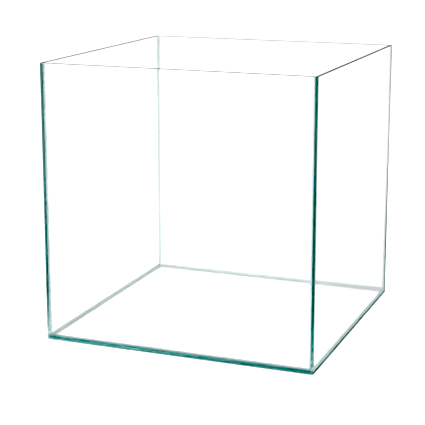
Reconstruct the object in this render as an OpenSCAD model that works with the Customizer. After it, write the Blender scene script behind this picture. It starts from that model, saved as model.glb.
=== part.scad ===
// Rimless glass cube aquarium: five float-glass panes held together by silicone.
// The two side panes overlap the ends of the front and rear panes, and the base pane lies inside
// all four walls with its underside level with theirs. Every joint has a thin bond between the
// two glass faces and a hollow-faced sealing bead on the water side.
// Frame: millimetres, +Z up, front towards -Y, origin at the middle of the underside.

/* [Tank] */
// Outside width, from side pane to side pane
tank_width = 400; // [200:10:600]
// Outside depth, from front pane to rear pane
tank_depth = 400; // [200:10:600]
// Outside height, from the surface it stands on to the rim
tank_height = 400; // [200:10:600]

/* [Glass] */
// Thickness of the four walls
wall_glass = 4; // [3:1:12]
// Thickness of the base pane
base_glass = 4; // [3:1:15]
// Width of the ground bevel along every glass edge
arris = 0.5; // [0.2:0.1:0.8]

/* [Silicone] */
// Thickness of the bond between two glass faces
bond_gap = 0.6; // [0.4:0.1:2]
// Leg of the sealing bead in the four upright corners
wall_seal = 3; // [2:0.5:8]
// Leg of the sealing bead around the base pane
base_seal = 4; // [2:0.5:10]
// Distance from the rim to the top of the upright sealing beads
seal_setback = 1.5; // [1:0.5:6]

/* [Hidden] */
$fn = 96;

// Half sizes of the space between the walls
room_x = tank_width / 2 - wall_glass;
room_y = tank_depth / 2 - wall_glass;
// Width of the panes that fit between the side panes
inner_width = 2 * (room_x - bond_gap);
// Depth of the base pane, between the front and rear panes
inner_depth = 2 * (room_y - bond_gap);
// Bonds stop short of the ground bevels, so they stay clear of the floor and the rim
bond_low = arris;
bond_high = tank_height - arris;
seal_high = tank_height - seal_setback;

glass_green = [0.62, 0.86, 0.82];
silicone_clear = [0.90, 0.93, 0.93];

// A rectangle centred on the origin with its four corners cut at 45 degrees
module bevelled_rectangle(width, height) {
    across = width / 2;
    up = height / 2;
    polygon([
        [across - arris, -up], [across, -up + arris], [across, up - arris], [across - arris, up],
        [-across + arris, up], [-across, up - arris], [-across, -up + arris], [-across + arris, -up]
    ]);
}

// A centred pane of glass with a ground bevel along all twelve edges
module pane(width, depth, height) {
    color(glass_green)
        intersection() {
            linear_extrude(height, center = true) bevelled_rectangle(width, depth);
            rotate([90, 0, 0])
                linear_extrude(depth, center = true) bevelled_rectangle(width, height);
            rotate([90, 0, 90])
                linear_extrude(width, center = true) bevelled_rectangle(depth, height);
        }
}

// Its children flipped left to right, front to rear, both or neither
module mirrored(flip_x, flip_y) {
    mirror([flip_x ? 1 : 0, 0, 0]) mirror([0, flip_y ? 1 : 0, 0]) children();
}

// A block from its lowest corner to its highest corner
module block(low, high) {
    translate(low) cube(high - low);
}

// Outline of a sealing bead that fills the corner at the origin, with a hollow quarter-round face
module bead_outline(leg) {
    difference() {
        square(leg);
        translate([leg, leg]) circle(leg);
    }
}

// Upright sealing bead in the corner on side_x (-1 left, 1 right) and side_y (-1 front, 1 rear)
module wall_bead(side_x, side_y) {
    translate([side_x * room_x, side_y * room_y, base_glass])
        mirrored(side_x > 0, side_y > 0)
            linear_extrude(seal_high - base_glass) bead_outline(wall_seal);
}

// Bead along the middle of the tank, lying in the corner between base and wall, before its
// ends are cut. Its length runs along X and its wall is on the -Y side, at distance reach.
module base_bead_bar(length, reach) {
    translate([-length / 2, -reach, base_glass])
        rotate([90, 0, 90])
            linear_extrude(length) bead_outline(base_seal);
}

// Wedge in plan that keeps the part of a bead nearest to the wall on the -Y side: its two slanting
// sides run at 45 degrees from the corners, so neighbouring beads meet in a mitre
module mitre_wedge(length, reach) {
    depth = min(length / 2, 2 * base_seal);
    translate([0, -reach, base_glass - 1])
        linear_extrude(base_seal + 2)
            polygon([
                [-length / 2, 0], [length / 2, 0],
                [length / 2 - depth, depth], [-length / 2 + depth, depth]
            ]);
}

// Sealing bead along one side of the base, mitred and cut back to the upright beads
module base_bead(length, reach) {
    difference() {
        intersection() {
            base_bead_bar(length, reach);
            mitre_wedge(length, reach);
        }
        for (side = [-1, 1])
            translate([side * length / 2, -reach, base_glass - 1])
                mirrored(side > 0, false)
                    linear_extrude(base_seal + 2) bead_outline(wall_seal);
    }
}

module base_pane() {
    translate([0, 0, base_glass / 2]) pane(inner_width, inner_depth, base_glass);
}

module cross_pane(side) {
    translate([0, side * (tank_depth - wall_glass) / 2, tank_height / 2])
        pane(inner_width, wall_glass, tank_height);
}

module side_pane(side) {
    translate([side * (tank_width - wall_glass) / 2, 0, tank_height / 2])
        pane(wall_glass, tank_depth, tank_height);
}

// Bond between the end of the front or rear pane and the inner face of a side pane
module wall_bond(side_x, side_y) {
    color(silicone_clear)
        mirrored(side_x < 0, side_y < 0)
            block(
                [room_x - bond_gap, room_y, bond_low],
                [room_x, tank_depth / 2 - arris, bond_high]
            );
}

// Bond between the base pane and the front or rear pane
module base_cross_bond(side) {
    color(silicone_clear)
        mirrored(false, side < 0)
            block(
                [-room_x + bond_gap, room_y - bond_gap, bond_low],
                [room_x - bond_gap, room_y, base_glass]
            );
}

// Bond between the base pane and a side pane
module base_side_bond(side) {
    color(silicone_clear)
        mirrored(side < 0, false)
            block(
                [room_x - bond_gap, -room_y, bond_low],
                [room_x, room_y, base_glass]
            );
}

module wall_seal_bead(side_x, side_y) {
    color(silicone_clear) wall_bead(side_x, side_y);
}

module base_cross_seal(side) {
    color(silicone_clear) mirrored(false, side > 0) base_bead(2 * room_x, room_y);
}

module base_side_seal(side) {
    color(silicone_clear) rotate(side * 90) base_bead(2 * room_y, room_x);
}

base_pane();
cross_pane(-1);  // front_pane
cross_pane(1);  // rear_pane
side_pane(-1);  // left_pane
side_pane(1);  // right_pane
wall_bond(-1, -1);  // front_left_bond
wall_bond(1, -1);  // front_right_bond
wall_bond(-1, 1);  // rear_left_bond
wall_bond(1, 1);  // rear_right_bond
base_cross_bond(-1);  // base_front_bond
base_cross_bond(1);  // base_rear_bond
base_side_bond(-1);  // base_left_bond
base_side_bond(1);  // base_right_bond
wall_seal_bead(-1, -1);  // front_left_seal
wall_seal_bead(1, -1);  // front_right_seal
wall_seal_bead(-1, 1);  // rear_left_seal
wall_seal_bead(1, 1);  // rear_right_seal
base_cross_seal(-1);  // base_front_seal
base_cross_seal(1);  // base_rear_seal
base_side_seal(-1);  // base_left_seal
base_side_seal(1);  // base_right_seal
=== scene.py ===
"""Rimless glass cube aquarium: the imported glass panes, clear silicone seams, studio light and camera."""

import math

import bmesh
import bpy
from mathutils import Euler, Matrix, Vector, noise


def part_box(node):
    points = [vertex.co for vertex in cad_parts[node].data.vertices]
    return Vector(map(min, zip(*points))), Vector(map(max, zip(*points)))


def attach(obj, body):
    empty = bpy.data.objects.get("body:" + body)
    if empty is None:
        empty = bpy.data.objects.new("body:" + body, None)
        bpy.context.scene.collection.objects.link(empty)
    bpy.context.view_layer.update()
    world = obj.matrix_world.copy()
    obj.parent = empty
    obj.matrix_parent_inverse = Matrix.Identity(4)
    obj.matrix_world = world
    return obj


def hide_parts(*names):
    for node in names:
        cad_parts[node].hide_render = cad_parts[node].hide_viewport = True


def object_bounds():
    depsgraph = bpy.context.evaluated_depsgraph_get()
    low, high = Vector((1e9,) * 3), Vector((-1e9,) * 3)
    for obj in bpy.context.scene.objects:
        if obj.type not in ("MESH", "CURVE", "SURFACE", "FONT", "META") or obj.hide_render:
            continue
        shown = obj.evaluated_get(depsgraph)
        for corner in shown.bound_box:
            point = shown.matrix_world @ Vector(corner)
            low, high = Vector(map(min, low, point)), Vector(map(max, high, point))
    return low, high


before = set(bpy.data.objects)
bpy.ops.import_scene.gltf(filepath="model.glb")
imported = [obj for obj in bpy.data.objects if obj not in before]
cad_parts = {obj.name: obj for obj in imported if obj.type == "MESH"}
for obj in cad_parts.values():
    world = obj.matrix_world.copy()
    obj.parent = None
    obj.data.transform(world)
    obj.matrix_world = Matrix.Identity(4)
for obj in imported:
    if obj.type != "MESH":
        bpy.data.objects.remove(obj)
cad_low, cad_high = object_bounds()

# ---------------------------------------------------------------- names and sizes
PANES = ("base_pane", "front_pane", "rear_pane", "left_pane", "right_pane")
SIDES = (-1, 1)
MM = 0.001

# Outside half sizes of the tank and its height
half_x = cad_high.x
half_y = cad_high.y
height = cad_high.z
# Half sizes of the space between the walls, and where it starts
room_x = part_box("right_pane")[0].x
room_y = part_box("rear_pane")[0].y
base_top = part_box("base_pane")[1].z
# Legs of the upright beads and of the beads around the base
wall_leg = room_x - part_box("front_right_seal")[0].x
base_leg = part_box("base_front_seal")[1].z - base_top
seal_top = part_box("front_right_seal")[1].z
# The bonds start where the ground bevel along the edges of the panes, the arris, ends
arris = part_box("front_right_bond")[0].z

# Glass nearer than this to the outside of the tank touches no silicone
skin = 0.9 * arris
# The bevels along the rims lie above this height
rim_bevel_low = height - 1.1 * arris
# A face is square to an axis where its normal has more than this of that axis
SQUARE = 0.9

# ---------------------------------------------------------------- glass
GLASS_IOR = 1.52
# Absorption of common float glass per metre of path, for red, green and blue light
GLASS_ABSORPTION = (5.9, 3.8, 4.0)
# The right-hand pane absorbs more than the others. This is painted shade: its edges come out darker, as if
# that side stood in dimmer light
GLASS_DEPTH_WITH_PAINTED_SHADE = {"right_pane": 1.35}
# Keeps the colour of the absorbing volume above black in its strongest channel
ABSORPTION_MARGIN = 1.02

# Ground edges, with fine streaks that change their roughness by this share
EDGE_ROUGHNESS = 0.08
STREAK_SPREAD = 0.5
STREAK_SCALE = 900
STREAK_DETAIL = 3
# The bevels along the rims are left matt and grey
MATT_CLEAR = 0.2
MATT_TONE = 0.18

# ---------------------------------------------------------------- silicone
SILICONE_IOR = 1.41
BEAD_COLOUR = (0.47, 0.50, 0.51, 1)
BEAD_CLEAR = 0.55
BEAD_ROUGHNESS = 0.35
BOND_COLOUR = (0.86, 0.95, 0.95, 1)
BOND_CLEAR = 0.97
BOND_ROUGHNESS = 0.1
# Along the base, the silicone against the side panes is milky from this height up
MILKY_FROM = 2.8 * MM
MILKY_COLOUR = (0.82, 0.92, 0.93, 1)
MILKY_CLEAR = 0.1
MILKY_ROUGHNESS = 0.1

# Gentle lumps a few millimetres long, which change the roughness by this share
LUMP_SPREAD = 0.3
LUMP_SCALE = 280
LUMP_DETAIL = 2
LUMP_STRENGTH = 0.4
LUMP_HEIGHT = 0.2 * MM

# Material slots of every silicone piece: open to the air, against glass, and milky against glass
EXPOSED, CONTACT, MILKY_CONTACT = 0, 1, 2

# How far the silicone is let into the glass, so that no two surfaces lie in one plane
SINK = 0.05 * MM
# Steps in the hollow face of a bead, distance between rings along it, and its blunt edges
ARC_STEPS = 8
STATION = 6 * MM
EDGE = 0.15 * MM
# Waviness of a bead smoothed by a finger, from noise, which is weakest at whole coordinates
WAVE = 0.12 * MM
WAVE_LENGTH = 18 * MM
OFF_WHOLE = 0.5

# ---------------------------------------------------------------- studio
# A white dome, brighter in a band; the heights of the band are shares of the radius
DOME_RADIUS = 32
DOME_LIGHT = 1.24
DOME_BAND = 3.0
DOME_BAND_STARTS = (0.05, 0.2)
DOME_BAND_ENDS = (0.35, 0.6)
# What the glass mirrors: a dim room with a white band, whose limits are the Z of the direction
ROOM_DIM = 0.15
ROOM_BAND = 1.15
ROOM_BAND_STARTS = (-0.28, -0.16)
ROOM_BAND_ENDS = (-0.07, 0.0)
# The floor, with a pool of light behind the tank
FLOOR_COLOUR = (0.74, 0.74, 0.74, 1)
FLOOR_HALF = 0.9 * DOME_RADIUS
FLOOR_DROP = 0.1 * MM
FLOOR_GLOW = 0.45
POOL_CENTRE = Vector((-0.7, 0.7, 0))
POOL_CORE = 0.6
POOL_REACH = 3.0

# Place of the camera in heights of the tank, and its angles in degrees
CAMERA_PLACE = Vector((1.635, -4.324, 1.530))
CAMERA_DIP = 12.20
CAMERA_TURN = 21.35
LENS = 107
SENSOR_WIDTH = 36
LENS_SHIFT = -0.08
BLACK_LEVEL = 0.1

WHITE = (1, 1, 1, 1)


# ---------------------------------------------------------------- node helpers
class Nodes:
    """A short way to write node trees."""

    def __init__(self, tree):
        self.tree = tree

    def add(self, kind, **settings):
        node = self.tree.nodes.new(kind)
        for name, value in settings.items():
            setattr(node, name, value)
        return node

    def link(self, source, target):
        self.tree.links.new(source, target)

    def math(self, operation, first, second=0.0, third=None):
        """A Math node; each argument is a socket or a plain number."""
        node = self.add("ShaderNodeMath", operation=operation)
        for socket, value in zip(node.inputs, (first, second, third)):
            if value is None:
                continue
            if isinstance(value, (int, float)):
                socket.default_value = value
            else:
                self.link(value, socket)
        return node.outputs[0]

    def product(self, *factors):
        """The factors multiplied, which is 1 where all of them are 1 and 0 where one is 0."""
        result = factors[0]
        for factor in factors[1:]:
            result = self.math("MULTIPLY", result, factor)
        return result

    def largest(self, *values):
        """The largest value, which is 1 where one or more of them are 1."""
        result = values[0]
        for value in values[1:]:
            result = self.math("MAXIMUM", result, value)
        return result

    def mix(self, factor, low, high):
        """low where factor is 0, high where it is 1."""
        return self.math("MULTIPLY_ADD", factor, high - low, low)

    def smooth_step(self, value, start, end, low, high):
        """low up to start, high from end, and a soft change between them."""
        step = self.add("ShaderNodeMapRange", interpolation_type="SMOOTHSTEP")
        self.link(value, step.inputs["Value"])
        step.inputs["From Min"].default_value = start
        step.inputs["From Max"].default_value = end
        step.inputs["To Min"].default_value = low
        step.inputs["To Max"].default_value = high
        return step.outputs["Result"]

    def band(self, value, starts, ends):
        """0 outside a band of values and 1 inside it, with soft changes over starts and ends."""
        return self.product(
            self.smooth_step(value, *starts, 0, 1),
            self.smooth_step(value, *ends, 1, 0),
        )

    def split(self, vector):
        """The X, Y and Z sockets of a vector socket."""
        node = self.add("ShaderNodeSeparateXYZ")
        self.link(vector, node.inputs[0])
        return tuple(node.outputs)

    def noise(self, position, scale, detail):
        """Noise from 0 to 1 in space."""
        node = self.add("ShaderNodeTexNoise")
        node.inputs["Scale"].default_value = scale
        node.inputs["Detail"].default_value = detail
        self.link(position, node.inputs["Vector"])
        return node.outputs[0]


def new_material(name):
    material = bpy.data.materials.new(name)
    material.use_nodes = True
    shader = material.node_tree.nodes["Principled BSDF"]
    return material, Nodes(material.node_tree), shader


def uneven(nodes, pattern, middle, spread):
    """middle, changed by a share of up to spread as pattern goes from 0 to 1."""
    return nodes.mix(pattern, middle * (1 - spread), middle * (1 + spread))


# ---------------------------------------------------------------- materials
def add_absorption(nodes, per_metre):
    """Beer's law absorption of the given strengths, as a plain Volume Absorption."""
    strongest = max(per_metre) * ABSORPTION_MARGIN
    volume = nodes.add("ShaderNodeVolumeAbsorption")
    volume.inputs["Color"].default_value = [1 - a / strongest for a in per_metre] + [1]
    volume.inputs["Density"].default_value = strongest
    nodes.link(volume.outputs[0], nodes.tree.nodes["Material Output"].inputs["Volume"])


def wetted_by_silicone(nodes, across, along, up):
    """1 where a glass surface lies against silicone and 0 elsewhere.

    across and along are distances from the middle of the tank, and up is the height.
    """
    inside = nodes.product(
        nodes.math("LESS_THAN", across, half_x - skin),
        nodes.math("LESS_THAN", along, half_y - skin),
        nodes.math("GREATER_THAN", up, arris),
    )
    in_upright_seam = nodes.product(
        nodes.math("GREATER_THAN", across, room_x - wall_leg),
        nodes.math("GREATER_THAN", along, room_y - wall_leg),
        nodes.math("LESS_THAN", up, seal_top),
    )
    beside_wall = nodes.largest(
        nodes.math("GREATER_THAN", across, room_x - base_leg),
        nodes.math("GREATER_THAN", along, room_y - base_leg),
    )
    near_base = nodes.math("LESS_THAN", up, base_top + base_leg)
    in_base_seam = nodes.product(beside_wall, near_base)
    return nodes.product(inside, nodes.largest(in_upright_seam, in_base_seam))


def ground_faces(nodes, normal, across, up):
    """Two masks: the ground faces of a pane, and the matt bevels along the rims."""
    facing_x, facing_y, facing_z = (nodes.math("ABSOLUTE", axis) for axis in nodes.split(normal))
    bevel = nodes.math("LESS_THAN", nodes.largest(facing_x, facing_y, facing_z), SQUARE)
    rim = nodes.product(
        nodes.math("GREATER_THAN", facing_z, SQUARE),
        nodes.math("GREATER_THAN", up, height - arris),
    )
    upright_end = nodes.product(
        nodes.math("GREATER_THAN", facing_y, SQUARE),
        nodes.math("GREATER_THAN", across, room_x),
    )
    matt = nodes.product(bevel, nodes.math("GREATER_THAN", up, rim_bevel_low))
    return nodes.largest(bevel, rim, upright_end), matt


def make_glass(name, depth_with_painted_shade):
    """Float glass that absorbs the given number of times as much as common glass, with ground edges; above
    1 the extra absorption is painted shade.
    """
    material, nodes, shader = new_material(name)
    add_absorption(nodes, [depth_with_painted_shade * strength for strength in GLASS_ABSORPTION])
    geometry = nodes.add("ShaderNodeNewGeometry")
    x, y, up = nodes.split(geometry.outputs["Position"])
    across, along = nodes.math("ABSOLUTE", x), nodes.math("ABSOLUTE", y)

    # Against silicone the surface bends light only by the ratio of the two indices
    wetted = wetted_by_silicone(nodes, across, along, up)
    ior = nodes.mix(wetted, GLASS_IOR, GLASS_IOR / SILICONE_IOR)
    nodes.link(ior, shader.inputs["IOR"])

    ground, matt = ground_faces(nodes, geometry.outputs["True Normal"], across, up)
    streaks = nodes.noise(geometry.outputs["Position"], STREAK_SCALE, STREAK_DETAIL)
    grinding = uneven(nodes, streaks, EDGE_ROUGHNESS, STREAK_SPREAD)
    nodes.link(nodes.product(ground, grinding), shader.inputs["Roughness"])

    nodes.link(nodes.mix(matt, 1, MATT_CLEAR), shader.inputs["Transmission Weight"])
    grey = nodes.add("ShaderNodeCombineColor")
    tone = nodes.mix(matt, 1, MATT_TONE)
    for channel in grey.inputs:
        nodes.link(tone, channel)
    nodes.link(grey.outputs[0], shader.inputs["Base Color"])
    return material


def make_silicone(name, colour, clearness, roughness, ior):
    """Silicone smoothed by a finger: gently lumpy, and duller in some places than in others."""
    material, nodes, shader = new_material(name)
    shader.inputs["Base Color"].default_value = colour
    shader.inputs["Transmission Weight"].default_value = clearness
    shader.inputs["IOR"].default_value = ior

    geometry = nodes.add("ShaderNodeNewGeometry")
    lumps = nodes.noise(geometry.outputs["Position"], LUMP_SCALE, LUMP_DETAIL)
    nodes.link(uneven(nodes, lumps, roughness, LUMP_SPREAD), shader.inputs["Roughness"])
    bump = nodes.add("ShaderNodeBump")
    bump.inputs["Strength"].default_value = LUMP_STRENGTH
    bump.inputs["Distance"].default_value = LUMP_HEIGHT
    nodes.link(lumps, bump.inputs["Height"])
    nodes.link(bump.outputs[0], shader.inputs["Normal"])
    return material


def make_floor_paint():
    """Matt white, with a pool of light behind the tank."""
    material, nodes, shader = new_material("studio_floor")
    shader.inputs["Base Color"].default_value = FLOOR_COLOUR
    shader.inputs["Roughness"].default_value = 1
    shader.inputs["Specular IOR Level"].default_value = 0

    geometry = nodes.add("ShaderNodeNewGeometry")
    distance = nodes.add("ShaderNodeVectorMath", operation="DISTANCE")
    nodes.link(geometry.outputs["Position"], distance.inputs[0])
    distance.inputs[1].default_value = POOL_CENTRE
    pool = nodes.smooth_step(distance.outputs["Value"], POOL_CORE, POOL_REACH, FLOOR_GLOW, 0)
    shader.inputs["Emission Color"].default_value = WHITE
    nodes.link(pool, shader.inputs["Emission Strength"])
    material.cycles.emission_sampling = "NONE"
    return material


def make_dome_light():
    """White light, stronger in a band above the floor."""
    material, nodes, shader = new_material("studio_dome")
    nodes.tree.nodes.remove(shader)
    light = nodes.add("ShaderNodeEmission")
    geometry = nodes.add("ShaderNodeNewGeometry")
    up = nodes.split(geometry.outputs["Position"])[2]
    rise = nodes.math("DIVIDE", up, DOME_RADIUS)
    band = nodes.band(rise, DOME_BAND_STARTS, DOME_BAND_ENDS)
    nodes.link(nodes.mix(band, DOME_LIGHT, DOME_BAND), light.inputs["Strength"])
    nodes.link(light.outputs[0], nodes.tree.nodes["Material Output"].inputs["Surface"])
    material.cycles.emission_sampling = "NONE"
    return material


# ---------------------------------------------------------------- silicone seams
def mesh_object(name, bm, materials):
    bmesh.ops.recalc_face_normals(bm, faces=bm.faces)
    mesh = bpy.data.meshes.new(name)
    bm.to_mesh(mesh)
    bm.free()
    for material in materials:
        mesh.materials.append(material)
    piece = bpy.data.objects.new(name, mesh)
    bpy.context.scene.collection.objects.link(piece)
    return piece


def bead_profile(leg):
    """Outline of a bead: (distance from one pane, distance from the other), hollow on the wet side."""
    centre = leg + EDGE
    points = [(-SINK, -SINK), (leg, -SINK)]
    for step in range(ARC_STEPS + 1):
        angle = math.pi / 2 * step / ARC_STEPS
        points.append((centre - leg * math.sin(angle), centre - leg * math.cos(angle)))
    points.append((-SINK, leg))
    return points


def bead(leg, start, end, place, seed):
    """A bead swept from start to end, as a mesh; each bead has a seed of its own.

    place(u, v, w) gives the point at distances u and v from the two panes and at w along the bead.
    """
    stations = max(2, round((end - start) / STATION) + 1)
    bm = bmesh.new()
    rings = []
    for station in range(stations):
        w = start + (end - start) * station / (stations - 1)
        swell = WAVE * noise.noise(Vector((w / WAVE_LENGTH, seed, OFF_WHOLE)))
        ring = []
        for u, v in bead_profile(leg):
            u += swell * max(0, u) / leg
            v += swell * max(0, v) / leg
            ring.append(bm.verts.new(place(u, v, w)))
        rings.append(ring)
    for near, far in zip(rings, rings[1:]):
        for i in range(len(near)):
            j = (i + 1) % len(near)
            bm.faces.new((near[i], near[j], far[j], far[i]))
    bm.faces.new(rings[0])
    bm.faces.new(rings[-1])
    return bm


def corner_bead(side_x, side_y):
    """Upright bead in one inside corner of the walls."""

    def place(u, v, w):
        return (side_x * (room_x - u), side_y * (room_y - v), w)

    return bead(wall_leg, base_top - SINK, seal_top, place, 3 * side_x + side_y)


def floor_bead(axis, side):
    """Bead beside the wall that faces along axis (0 is X, 1 is Y) on one side."""
    reach = (room_x, room_y)[axis]
    length = (room_y, room_x)[axis] + SINK

    def place(u, v, w):
        across = side * (reach - u)
        return (across, w, base_top + v) if axis == 0 else (w, across, base_top + v)

    return bead(base_leg, -length, length, place, 10 + 3 * axis + side)


def united(piece, others):
    """piece with the others' shapes added to it, as one closed mesh."""
    for other in others:
        union = piece.modifiers.new("union", "BOOLEAN")
        union.operation = "UNION"
        union.solver = "EXACT"
        union.object = other
        bpy.context.view_layer.update()
        graph = bpy.context.evaluated_depsgraph_get()
        mesh = bpy.data.meshes.new_from_object(piece.evaluated_get(graph))
        piece.modifiers.clear()
        piece.data = mesh
        bpy.data.objects.remove(other)
    return piece


def bead_surface(centre):
    """Material slot of a face of the sealing bead, from the face's centre."""
    in_side_pane = abs(centre.x) > room_x + SINK / 2
    in_other_pane = abs(centre.y) > room_y + SINK / 2 or centre.z < base_top - SINK / 2
    if in_side_pane and centre.z < base_top + base_leg:
        return MILKY_CONTACT
    if in_side_pane or in_other_pane:
        return CONTACT
    return EXPOSED


def sealing_bead(materials):
    """The beads of all eight inside corners, run into each other."""
    shapes = [corner_bead(x, y) for x in SIDES for y in SIDES]
    shapes += [floor_bead(axis, side) for axis in (0, 1) for side in SIDES]
    parts = [mesh_object(f"bead_{i}", bm, materials) for i, bm in enumerate(shapes)]
    piece = united(parts[0], parts[1:])
    piece.name = "sealing_bead"
    for face in piece.data.polygons:
        face.material_index = bead_surface(face.center)
    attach(piece, "root")
    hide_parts(*(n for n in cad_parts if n.endswith("_seal")))


def looks_out(normal, middle, axis):
    """Whether a face of a piece at middle looks away from the middle of the tank along axis."""
    return normal[axis] * middle[axis] > SQUARE * abs(middle[axis])


def upright_bond_surface(face, middle, thin):
    """An upright bond shows the edge that looks out of the tank, and both ends."""
    exposed = looks_out(face.normal, middle, 1 - thin) or abs(face.normal.z) > SQUARE
    return EXPOSED if exposed else CONTACT


def base_bond_surface(face, middle, thin):
    """A base bond shows its underside, and is milky against a side pane above MILKY_FROM."""
    if face.normal.z < -SQUARE:
        return EXPOSED
    against_side_pane = thin == 0 and looks_out(face.normal, middle, 0)
    if against_side_pane and face.calc_center_median().z > MILKY_FROM:
        return MILKY_CONTACT
    return CONTACT


def bond(node, materials):
    """The thin bond that stands for one CAD bond, let a little into the glass on both sides."""
    low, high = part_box(node)
    middle, half = (low + high) / 2, (high - low) / 2
    thin = min((0, 1), key=lambda axis: half[axis])
    half[thin] += SINK
    bm = bmesh.new()
    bmesh.ops.create_cube(bm, size=2)
    for vert in bm.verts:
        vert.co = middle + Vector(c * h for c, h in zip(vert.co, half))
    upright = half.z == max(half)
    if not upright:
        cut = bm.verts[:] + bm.edges[:] + bm.faces[:]
        bmesh.ops.bisect_plane(bm, geom=cut, plane_co=(0, 0, MILKY_FROM), plane_no=(0, 0, 1))
        bm.normal_update()
    surface = upright_bond_surface if upright else base_bond_surface
    for face in bm.faces:
        face.material_index = surface(face, middle, thin)
    piece = mesh_object(f"{node}_silicone", bm, materials)
    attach(piece, "root")
    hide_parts(node)


# ---------------------------------------------------------------- studio, camera and looks
def make_floor():
    """A plain white floor just below the tank, which the glass doesn't mirror."""
    bm = bmesh.new()
    bmesh.ops.create_grid(bm, x_segments=1, y_segments=1, size=FLOOR_HALF)
    floor = mesh_object("studio_floor", bm, [make_floor_paint()])
    floor.location.z = -FLOOR_DROP
    floor.visible_glossy = False


def make_dome():
    """Plain white surroundings, which the glass lets through but doesn't mirror."""
    bm = bmesh.new()
    bmesh.ops.create_icosphere(bm, subdivisions=4, radius=DOME_RADIUS)
    dome = mesh_object("studio_dome", bm, [make_dome_light()])
    dome.visible_glossy = False


def make_world():
    """What the glass mirrors: a dim room with a white band just below eye level."""
    world = bpy.data.worlds.new("studio")
    world.use_nodes = True
    bpy.context.scene.world = world
    nodes = Nodes(world.node_tree)
    background = world.node_tree.nodes["Background"]
    background.inputs["Color"].default_value = WHITE
    direction = nodes.add("ShaderNodeTexCoord")
    up = nodes.split(direction.outputs["Generated"])[2]
    band = nodes.band(up, ROOM_BAND_STARTS, ROOM_BAND_ENDS)
    nodes.link(nodes.mix(band, ROOM_DIM, ROOM_BAND), background.inputs["Strength"])


def make_camera():
    """Three-quarter view from above, a little to the right of the front pane."""
    data = bpy.data.cameras.new("camera")
    camera = bpy.data.objects.new("camera", data)
    bpy.context.scene.collection.objects.link(camera)
    bpy.context.scene.camera = camera
    camera.location = height * CAMERA_PLACE
    tilt, turn = math.radians(90 - CAMERA_DIP), math.radians(CAMERA_TURN)
    camera.rotation_euler = Euler((tilt, 0, turn))
    data.sensor_width = SENSOR_WIDTH
    data.lens = LENS
    data.shift_y = LENS_SHIFT


def set_looks():
    """Plain tone curve with a black level, and enough bounces for light led along the panes."""
    scene = bpy.context.scene
    scene.view_settings.view_transform = "Standard"
    scene.view_settings.look = "None"
    scene.view_settings.use_curve_mapping = True
    levels = scene.view_settings.curve_mapping
    levels.black_level = (BLACK_LEVEL, BLACK_LEVEL, BLACK_LEVEL)
    levels.update()
    cycles = scene.cycles
    cycles.max_bounces = 128
    cycles.transmission_bounces = 128
    cycles.glossy_bounces = 64
    cycles.diffuse_bounces = 4
    cycles.transparent_max_bounces = 64
    cycles.blur_glossy = 0
    cycles.use_denoising = True
    cycles.use_adaptive_sampling = False
    cycles.filter_width = 1.5
    cycles.sample_clamp_indirect = 0


def make_panes():
    """The five CAD panes stay as they are, and get glass of their own."""
    for name in PANES:
        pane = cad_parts[name]
        pane.data.materials.clear()
        # The right-hand pane gets extra absorption as painted shade
        pane.data.materials.append(make_glass(f"{name}_glass", GLASS_DEPTH_WITH_PAINTED_SHADE.get(name, 1)))


def make_seams():
    """The sealing bead and the eight bonds, each with a clear and a milky contact with the glass."""
    contact = make_silicone("silicone_in_contact", BOND_COLOUR, 1, 0, 1)
    milky = make_silicone("silicone_milky", MILKY_COLOUR, MILKY_CLEAR, MILKY_ROUGHNESS, SILICONE_IOR)
    thick = make_silicone("silicone_bead", BEAD_COLOUR, BEAD_CLEAR, BEAD_ROUGHNESS, SILICONE_IOR)
    thin = make_silicone("silicone_bond", BOND_COLOUR, BOND_CLEAR, BOND_ROUGHNESS, SILICONE_IOR)
    sealing_bead([thick, contact, milky])
    for name in sorted(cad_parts):
        if name.endswith("_bond"):
            bond(name, [thin, contact, milky])


make_panes()
make_seams()
make_floor()
make_dome()
make_world()
make_camera()
set_looks()
